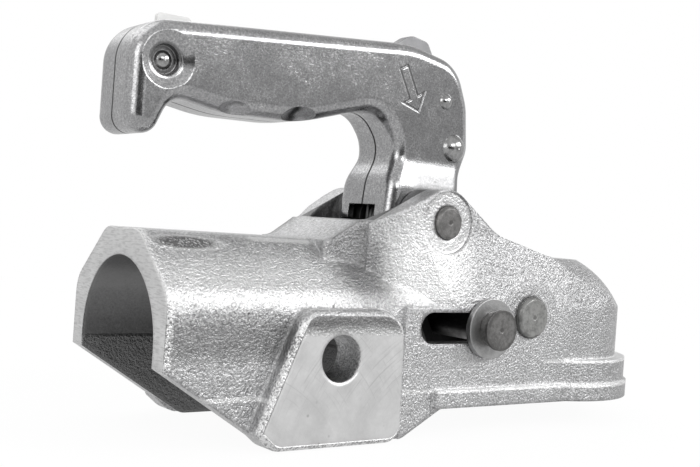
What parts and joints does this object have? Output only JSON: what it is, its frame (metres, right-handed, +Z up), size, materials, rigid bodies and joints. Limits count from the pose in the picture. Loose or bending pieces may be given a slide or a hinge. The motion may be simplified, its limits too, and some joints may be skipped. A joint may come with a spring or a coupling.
{
  "type": "trailer coupling head",
  "caption": "Cast coupling head that clamps on a round drawbar and locks over a towing ball with a lift-up pressed steel handle.",
  "frame": {"origin": "centre of the drawbar bore at the rear face of the socket", "axes": "+X from the drawbar to the ball along the bore, +Y to the left, +Z up"},
  "size_m": [0.2199, 0.0796, 0.1354],
  "materials": {
    "zinc_casting": "zinc-plated rough casting",
    "dark_pin": "dull turned steel",
    "pale_pin": "zinc-plated turned steel",
    "plated_sheet": "shiny zinc-plated pressed steel",
    "inner_steel": "dark greased steel",
    "bright_rivet": "bright plated rivet",
    "spring_wire": "dark spring wire",
    "catch_plate": "dull stamped steel",
    "plug_plastic": "pale plastic",
    "washer_steel": "zinc-plated washer",
    "jaw_casting": "dark forged jaw"
  },
  "bodies": {
    "housing": {"coupling_housing": "zinc_casting", "handle_pivot_pin": "dark_pin", "jaw_pivot_pin": "pale_pin"},
    "handle": {"handle_shell_right": "plated_sheet", "handle_shell_left": "plated_sheet", "drive_lever_right": "inner_steel", "drive_lever_left": "inner_steel", "lever_sleeve": "inner_steel", "lever_washers": "inner_steel", "neck_rivet": "bright_rivet", "catch_rivet": "bright_rivet", "grip_rivet": "bright_rivet", "neck_sleeve": "inner_steel", "catch_sleeves": "inner_steel", "grip_sleeve": "inner_steel", "handle_spring": "spring_wire", "catch_spring": "spring_wire", "seam_plug": "plug_plastic"},
    "catch": {"safety_catch": "catch_plate"},
    "lock": {"lock_pin": "dark_pin", "lock_washers": "washer_steel", "lock_block": "inner_steel"},
    "jaw": {"ball_jaw": "jaw_casting"}
  },
  "joints": [
    {"name": "handle_lift", "type": "hinge", "parent": "housing", "child": "handle", "pos_m": [0.1025, 0, 0.0417], "axis": [0, 1, 0], "range_deg": [0, 38], "deforming": ["handle_spring"]},
    {"name": "lock_slide", "type": "slide", "parent": "housing", "child": "lock", "axis": [-1, 0, 0], "range_m": [0, 0.0244]},
    {"name": "jaw_swing", "type": "hinge", "parent": "housing", "child": "jaw", "pos_m": [0.141, 0, 0.0108], "axis": [0, 1, 0], "range_deg": [0, 14]},
    {"name": "catch_press", "type": "hinge", "parent": "handle", "child": "catch", "pos_m": [0.1125, 0, 0.0842], "axis": [0, -1, 0], "range_deg": [0, 8], "deforming": ["catch_spring"]}
  ],
  "couplings": [
    {"joint": "lock_slide", "follows": "handle_lift", "m_per_rad": 0.03679},
    {"joint": "jaw_swing", "follows": "handle_lift", "ratio": 0.36842}
  ]
}
